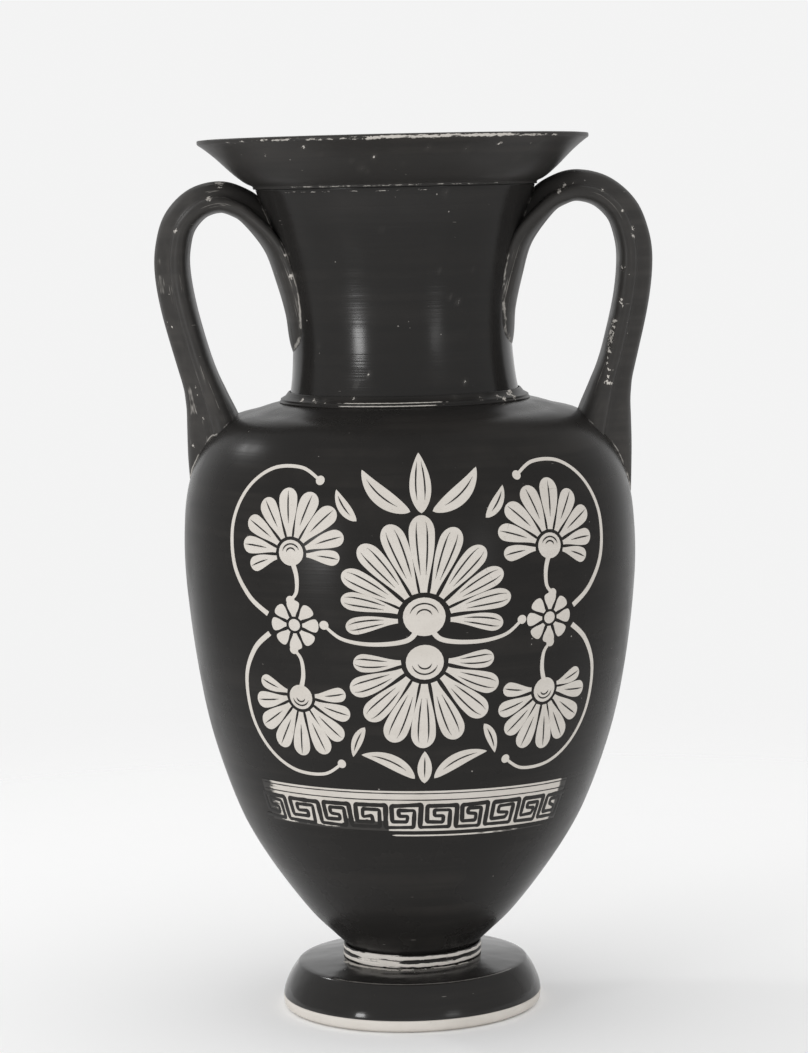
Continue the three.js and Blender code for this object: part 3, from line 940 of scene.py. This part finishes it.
# Key pattern under the panel: heights, and one unit's stroke as shares of its pitch and of its
# height, with the share of the brush's width on the run that leaves each corner.
KEY_TOP = 92.5 * MM
KEY_BOTTOM = 83.7 * MM
KEY_HALF_WIDTH = 0.82 * MM
KEY_UNIT_SHARES = (
    (0.00, 1.00, 0.80), (0.81, 1.00, 1.10), (0.82, 0.21, 0.84), (0.36, 0.21, 1.02),
    (0.37, 0.50, 0.80), (0.65, 0.50, 0.95), (0.64, 0.76, 0.86), (0.18, 0.76, 1.22),
    (0.18, 0.00, 0.98), (1.00, 0.00, 1.28),
)
KEY_HOOK_CORNERS = (4, 5, 6)
KEY_CORNER = 0.7 * MM
KEY_STEP = 0.35 * MM
FRONT_KEY_BARS = (-52.5, -42, -29.5, -19.5, -8.5, 2, 13, 22.5, 33.5, 43, 53)
BACK_KEY_BARS = (-52, -42, -31, -21, -10.5, 0, 10.5, 21, 31, 42, 52)

# Pale bands and dark lines of the border, as heights, and how far the front border drops per
# length towards its right, as it was painted.
GROUND_TOP = 98.3 * MM
GROUND_BOTTOM = 82.1 * MM
UPPER_LINES = (97.3 * MM, 94.7 * MM)
UPPER_LINE_HALF_WIDTH = 0.20 * MM
THIN_BAND = 80.25 * MM
THIN_BAND_HALF_WIDTH = 0.29 * MM
FRONT_BORDER_DROP = 0.018


def degrees_across(degrees):
    """Distance round the unrolled panel of an azimuth from the panel's middle."""
    return math.radians(degrees) * PANEL_RADIUS


def wobble(seed, amount):
    return amount * noise.noise(Vector((seed * 0.73, 0.5, 1.7 * seed)))


def key_line(bars):
    """The whole running key as one line drawn by hand between its upright bars, and its widths."""
    points, runs = [], []
    for number, (left, right) in enumerate(zip(bars, bars[1:])):
        start, pitch = degrees_across(left), degrees_across(right - left)
        for k, (across, down, weight) in enumerate(KEY_UNIT_SHARES):
            seed = 11 * number + k
            stray = (0.9 if k in KEY_HOOK_CORNERS else 0.5) * MM
            points.append(Vector((
                start + across * pitch + wobble(seed, stray),
                KEY_TOP + down * (KEY_BOTTOM - KEY_TOP) + wobble(seed + 0.4, stray),
            )))
            runs.append(weight)
    line = rounded(points)
    raw, drawn = lengths(points), lengths(line)
    places = [a + share * (b - a) for a, b in zip(raw, raw[1:]) for share in (0.12, 0.88)]
    widths = np.interp(drawn / drawn[-1] * raw[-1], places, np.repeat(runs[:-1], 2))
    return line, KEY_HALF_WIDTH * widths


def level_line(left, right, height, waver=0.12 * MM):
    """A level line between two azimuths, in degrees."""
    ends = degrees_across(left), degrees_across(right)
    count = round((ends[1] - ends[0]) / (1.6 * MM))
    return [
        Vector((x, height + waver * noise.noise(Vector((x * 40, height * 900, 0)))))
        for x in np.linspace(*ends, count)
    ]


def border(name, azimuth, bars, ends, thin_ends, clay, drop=0.0):
    """Ground, lines and running key of one side."""
    ground = Ornament(azimuth, CLAY_LIFT, drop=drop)
    middle = (GROUND_TOP + GROUND_BOTTOM) / 2
    line = level_line(*ends, middle, 0.0)
    ground.ribbon(line, [(GROUND_TOP - GROUND_BOTTOM) / 2] * len(line))
    ground.stroke(level_line(*thin_ends, THIN_BAND), THIN_BAND_HALF_WIDTH, 0.02)
    ground.done(f"{name}_border_clay", clay, "reserved_clay")
    drawn = Ornament(azimuth, LINE_LIFT, LINE_DOME, drop)
    for height in UPPER_LINES:
        drawn.stroke(level_line(*ends, height), UPPER_LINE_HALF_WIDTH, 0.01, 0.3)
    drawn.stroke(*key_line(bars), 0.0, 0.24)
    drawn.done(f"{name}_border_lines", DRAWN_SLIP, "black_gloss")


def brushed_over(nodes):
    """Slip brushed over the front border: at both ends, along its foot on the left, and over
    the thin band on the right."""
    turn, height = nodes.around_jar()
    streak = nodes.noise(nodes.vector(turn * 14.0, height * 650.0), 1.0, 4.0, 0.65) - 0.5
    left_end = nodes.between(turn + streak * 0.18, -0.770, -0.815)
    right_end = nodes.between(turn - height * 0.5 + streak * 0.03, 0.812, 0.828)
    wash_top = nodes.between(turn, -0.395, -0.350, 83.7 * MM, 86.5 * MM)
    below = nodes.between(height + streak * (4.0 * MM) - wash_top, 0.15 * MM, -0.15 * MM)
    wash = below * nodes.between(turn, -0.118, -0.126)
    leaning = height + turn * (FRONT_BORDER_DROP * PANEL_RADIUS)
    thin = nodes.between(leaning, 81.5 * MM, 81.2 * MM)
    faded = thin * nodes.between(turn + streak * 0.9, 0.36, 0.62)
    return nodes.most(nodes.most(left_end, right_end), nodes.most(wash, faded)) * 0.97


# Floral panel: places are shares of the panel's height, from the middle of its lower edge.
PANEL_BASE = 99.5 * MM
PANEL_HEIGHT = 126 * MM
TENDRIL_HALF_WIDTH = 0.0078
FINE_LINE_HALF_WIDTH = 0.0021
PETAL_FILL = 0.86
TIP_START = 0.78
RIB_SHARES = (0.20, 0.84)


def on_panel(place):
    return Vector((place[0] * PANEL_HEIGHT, PANEL_BASE + place[1] * PANEL_HEIGHT))


def scaled(line, step=0.8 * MM):
    return evenly([on_panel(place) for place in line], step)


class Panel:
    """The clay shapes and drawn lines of one floral panel."""

    def __init__(self, azimuth):
        self.clay = Ornament(azimuth, CLAY_LIFT)
        self.lines = Ornament(azimuth, LINE_LIFT, LINE_DOME)

    def tendril(self, points, half_width=TENDRIL_HALF_WIDTH):
        """A stem that thins towards its end and closes in a small knob."""
        line = scaled(spline(points, 14))
        share = np.linspace(0, 1, len(line))
        self.clay.ribbon(line, half_width * PANEL_HEIGHT * (1 - 0.45 * share))
        self.spot(points[-1], half_width * 1.7)

    def leaf(self, base, tip, half_width, bend=0.0, club=True, ribs=1):
        """A petal from base to tip: club-shaped with a round tip, or a pointed leaf."""
        base, tip = Vector(base), Vector(tip)
        aside = Vector((-(tip - base).y, (tip - base).x)) * bend
        lean = (base + tip) / 2 + aside
        bend_line = [bent(base, lean, tip, t) for t in np.linspace(0, 1, 25)]
        line = scaled(bend_line)
        if club:
            line = line[:round(len(line) * TIP_START)] + self.rounded_tip(bend_line)
        along = lengths(line)
        share = along / along[-1]
        if club:
            swell = 0.26 + 0.74 * np.sin(np.clip(share / TIP_START, 0, 1) * np.pi / 2) ** 1.4
            tip_share = np.clip((share - TIP_START) / (1 - TIP_START), 0, 1)
            profile = swell * np.sqrt(np.maximum(1 - tip_share**2, 0))
        else:
            profile = np.sin(np.pi * share**0.85) ** 0.8
            profile[0] = profile[-1] = 0
        widths = half_width * PANEL_HEIGHT * profile
        self.clay.ribbon(line, widths)
        first, last = (round(len(line) * share) for share in RIB_SHARES)
        for k in range(ribs):
            off = (2 * k / (ribs - 1) - 1) * 0.42 if ribs > 1 else 0.0
            rib = shifted(line, widths * off)[first:last]
            if len(rib) > 3:
                self.lines.stroke(rib, FINE_LINE_HALF_WIDTH * PANEL_HEIGHT, 0.25)

    def rounded_tip(self, bend_line):
        """The last part of a petal's line, in steps that shorten towards its tip."""
        fine = scaled(bend_line, 0.02 * MM)
        turns = np.linspace(0, np.pi / 2, 11)
        places = TIP_START + (1 - TIP_START) * np.sin(turns)
        return [fine[round(place * (len(fine) - 1))] for place in places]

    def spot(self, middle, radius):
        self.clay.disc(on_panel(middle), radius * PANEL_HEIGHT)

    def arc(self, middle, radius, start, end):
        turns = np.linspace(start, end, 17)
        line = scaled([
            (middle[0] + radius * math.cos(turn), middle[1] + radius * math.sin(turn))
            for turn in turns], 0.5 * MM)
        self.lines.stroke(line, FINE_LINE_HALF_WIDTH * PANEL_HEIGHT, 0.2)

    def palmette(self, heart, heading, reach, petals, spread, ribs=1):
        """Petals fanned round a heart, the middle one along the heading, in degrees."""
        heart = Vector(heart)
        inner = reach * 0.25
        widest = math.radians(spread) * 0.80 * reach / (petals - 1)
        for k in range(petals):
            share = 2 * k / (petals - 1) - 1
            seed = k + heart.x * 90 + heart.y * 70
            turn = math.radians(heading) - share * math.radians(spread) / 2 + wobble(seed, 0.045)
            length = reach * (1 - 0.24 * abs(share) ** 1.8) * (1 + wobble(seed + 0.5, 0.07))
            way = Vector((math.cos(turn), math.sin(turn)))
            self.leaf(
                heart + way * inner, heart + way * length,
                widest / 2 * PETAL_FILL * length / reach, bend=0.07 * share, ribs=ribs)
        self.spot(heart, inner * 0.80)
        for size in (0.30, 0.55):
            self.arc(heart, inner * size, math.radians(heading - 75), math.radians(heading + 75))

    def rosette(self, heart, reach, petals):
        """Short petals all round a small heart."""
        heart = Vector(heart)
        for k in range(petals):
            turn = math.tau * k / petals
            way = Vector((math.cos(turn), math.sin(turn)))
            width = math.tau * 0.78 * reach / petals / 2 * PETAL_FILL
            self.leaf(heart + way * reach * 0.34, heart + way * reach, width, ribs=0)
        self.spot(heart, reach * 0.24)

    def done(self, name):
        self.clay.done(f"{name}_floral_clay", BARE_CLAY, "reserved_clay")
        self.lines.done(f"{name}_floral_lines", DRAWN_SLIP, "black_gloss")


def shifted(line, distances):
    """A line moved to its left by a distance at each point."""
    points = np.array(line)
    return [Vector(point) for point in points + sideways(points) * distances[:, None]]


def make_front_panel():
    panel = Panel(math.radians(3.0))
    panel.palmette((0, 0.520), 90, 0.285, 11, 196, ribs=2)
    panel.palmette((0, 0.385), -90, 0.260, 9, 184, ribs=2)
    panel.leaf((0, 0.820), (0, 0.990), 0.030, club=False, ribs=2)
    panel.leaf((0, 0.015), (0, 0.115), 0.022, club=False)
    for side in (-1, 1):
        def at(x, y):
            return (side * x, y)

        panel.tendril([at(0.012, 0.500), at(0.045, 0.452), at(0.140, 0.440), at(0.225, 0.455),
                       at(0.275, 0.495)])
        panel.rosette(at(0.365, 0.492), 0.074, 8)
        panel.palmette(at(0.365, 0.705), 90 - side * 6, 0.190, 9, 206)
        panel.palmette(at(0.365, 0.275), -90 + side * 6, 0.185, 9, 206)
        panel.tendril([at(0.365, 0.690), at(0.350, 0.640), at(0.352, 0.590), at(0.372, 0.565)])
        panel.tendril([at(0.365, 0.290), at(0.350, 0.340), at(0.352, 0.390), at(0.372, 0.418)])
        panel.tendril([at(0.450, 0.520), at(0.515, 0.570), at(0.568, 0.660), at(0.575, 0.780),
                       at(0.530, 0.885), at(0.450, 0.945), at(0.350, 0.950), at(0.285, 0.915)])
        panel.tendril([at(0.450, 0.462), at(0.512, 0.410), at(0.560, 0.320), at(0.560, 0.200),
                       at(0.510, 0.105), at(0.425, 0.048), at(0.320, 0.040), at(0.255, 0.075)])
        for base, tip, half_width, bend in (
            ((0.030, 0.825), (0.165, 0.945), 0.026, -0.20),
            ((0.175, 0.800), (0.235, 0.890), 0.017, -0.15),
            ((0.030, 0.030), (0.190, 0.105), 0.022, 0.22),
            ((0.174, 0.190), (0.216, 0.098), 0.016, 0.12),
        ):
            panel.leaf(at(*base), at(*tip), half_width, bend * side, club=False)
    panel.done("front")


def make_back_panel():
    panel = Panel(math.pi)
    panel.palmette((0, 0.400), 90, 0.400, 13, 214, ribs=2)
    panel.palmette((0, 0.285), -90, 0.200, 7, 160)
    panel.leaf((0, 0.820), (0, 0.985), 0.026, club=False)
    for side in (-1, 1):
        def at(x, y):
            return (side * x, y)

        panel.tendril([at(0.012, 0.340), at(0.110, 0.300), at(0.260, 0.300), at(0.390, 0.370),
                       at(0.470, 0.500), at(0.480, 0.660), at(0.420, 0.800), at(0.330, 0.850)])
        panel.palmette(at(0.420, 0.200), -90 + side * 30, 0.170, 7, 190)
        panel.leaf(at(0.030, 0.820), at(0.160, 0.940), 0.022, bend=-0.18 * side, club=False)
        panel.leaf(at(0.330, 0.640), at(0.400, 0.760), 0.020, bend=-0.10 * side, club=False)
    panel.done("back")


def make_ornament():
    front_clay = bare_clay("front_border_clay", slip=brushed_over)
    border("front", 0.0, FRONT_KEY_BARS, (-50, 52), (-6.8, 47), front_clay, FRONT_BORDER_DROP)
    border("back", math.pi, BACK_KEY_BARS, (-49, 49), (-47, 47), BARE_CLAY)
    make_front_panel()
    make_back_panel()


# Studio: a pale backdrop, a dimmer room in front of it, a pale floor and soft lamps. Polished
# places see the room pass into the backdrop between two headings.
BACKDROP = 0.90
ROOM = 0.42
FILL = 1.02
BACKDROP_HEADINGS = (0.42, 1.00)


def make_surroundings():
    world = bpy.data.worlds.new("studio")
    bpy.context.scene.world = world
    world.use_nodes = True
    world.node_tree.nodes.clear()
    nodes = Nodes(world.node_tree)
    path = nodes.out("ShaderNodeLightPath")
    mirrored = nodes.math("ADD", path["Is Glossy Ray"], path["Is Transmission Ray"], clamp=True)
    heading = nodes.axes(nodes.out("ShaderNodeTexCoord")["Generated"])
    around = nodes.between(heading["Y"], *BACKDROP_HEADINGS, ROOM, BACKDROP)
    unseen = nodes.between(mirrored, 0.0, 1.0, FILL, around)
    strength = nodes.between(path["Is Camera Ray"], 0.0, 1.0, unseen, BACKDROP)
    light = nodes.first("ShaderNodeBackground", {"Color": (1, 1, 1, 1), "Strength": strength})
    nodes.add("ShaderNodeOutputWorld", {"Surface": light})


FLOOR_RADIUS = 1.6
FLOOR_FADE = (0.16, 0.75)
FLOOR_PALENESS = 0.90


def make_floor():
    """A pale round floor that clears away towards the backdrop."""
    bm = bmesh.new()
    bmesh.ops.create_circle(bm, cap_ends=True, segments=96, radius=FLOOR_RADIUS)
    floor = placed("floor", as_mesh("floor", bm))
    material, nodes, shader = new_material("pale_floor")
    for name, value in (("Base Color", (*[FLOOR_PALENESS] * 3, 1)), ("Roughness", 0.9),
                        ("Specular IOR Level", 0.1)):
        nodes.put(shader[name], value)
    cover = shader["Roughness"].node.outputs[0]
    reach = nodes.out("ShaderNodeVectorMath", {0: nodes.place()}, operation="LENGTH")["Value"]
    end = cover.links[0].to_socket
    nodes.put(end, nodes.first("ShaderNodeMixShader", {
        0: nodes.between(reach, *FLOOR_FADE), 1: Value(nodes, cover),
        2: nodes.first("ShaderNodeBsdfTransparent")}))
    floor.data.materials.append(material)


# Lamps: name, azimuth from the camera's side in degrees, height, width and height, power.
LAMPS = (
    ("left_lamp", -45, 0.165, (0.20, 0.25), 2.7),
    ("right_lamp", 35, 0.15, (0.20, 0.24), 0.45),
    ("rear_lamp", -118, 1.00, (0.16, 0.16), 2.0),
)
LAMP_DISTANCE = 1.2
LAMP_TARGET = Vector((0, 0, 0.22))


def make_lamps():
    for name, azimuth, height, size, power in LAMPS:
        lamp = bpy.data.lights.new(name, "AREA")
        lamp.shape = "RECTANGLE"
        lamp.size, lamp.size_y = size
        lamp.energy = power
        thing = placed(name, lamp)
        turn = math.radians(azimuth)
        thing.location = (
            LAMP_DISTANCE * math.sin(turn), -LAMP_DISTANCE * math.cos(turn), height)
        thing.rotation_euler = (LAMP_TARGET - thing.location).to_track_quat("-Z", "Y").to_euler()


# Camera, set as the photograph was taken: focal length and height of the photo in its pixels.
CAMERA_PLACE = (-0.0002, -1.2421, 0.3215)
CAMERA_PITCH = 6.09
CAMERA_ROLL = 1.3
FOCAL_LENGTH_PX = 3200
PHOTO_HEIGHT_PX = 1053
SENSOR = 36


def make_camera():
    camera = bpy.data.cameras.new("camera")
    camera.lens = FOCAL_LENGTH_PX / PHOTO_HEIGHT_PX * SENSOR
    camera.sensor_width = SENSOR
    camera.clip_start = 0.05
    thing = placed("camera", camera)
    level = Matrix.Rotation(math.radians(90 - CAMERA_PITCH), 4, "X")
    rolled = Matrix.Rotation(math.radians(-CAMERA_ROLL), 4, "Z")
    thing.matrix_world = Matrix.Translation(CAMERA_PLACE) @ level @ rolled
    bpy.context.scene.camera = thing


bpy.context.scene.view_settings.view_transform = "Standard"
make_camera()
make_surroundings()
make_floor()
make_lamps()
make_round_pieces()
make_handles()
make_ornament()
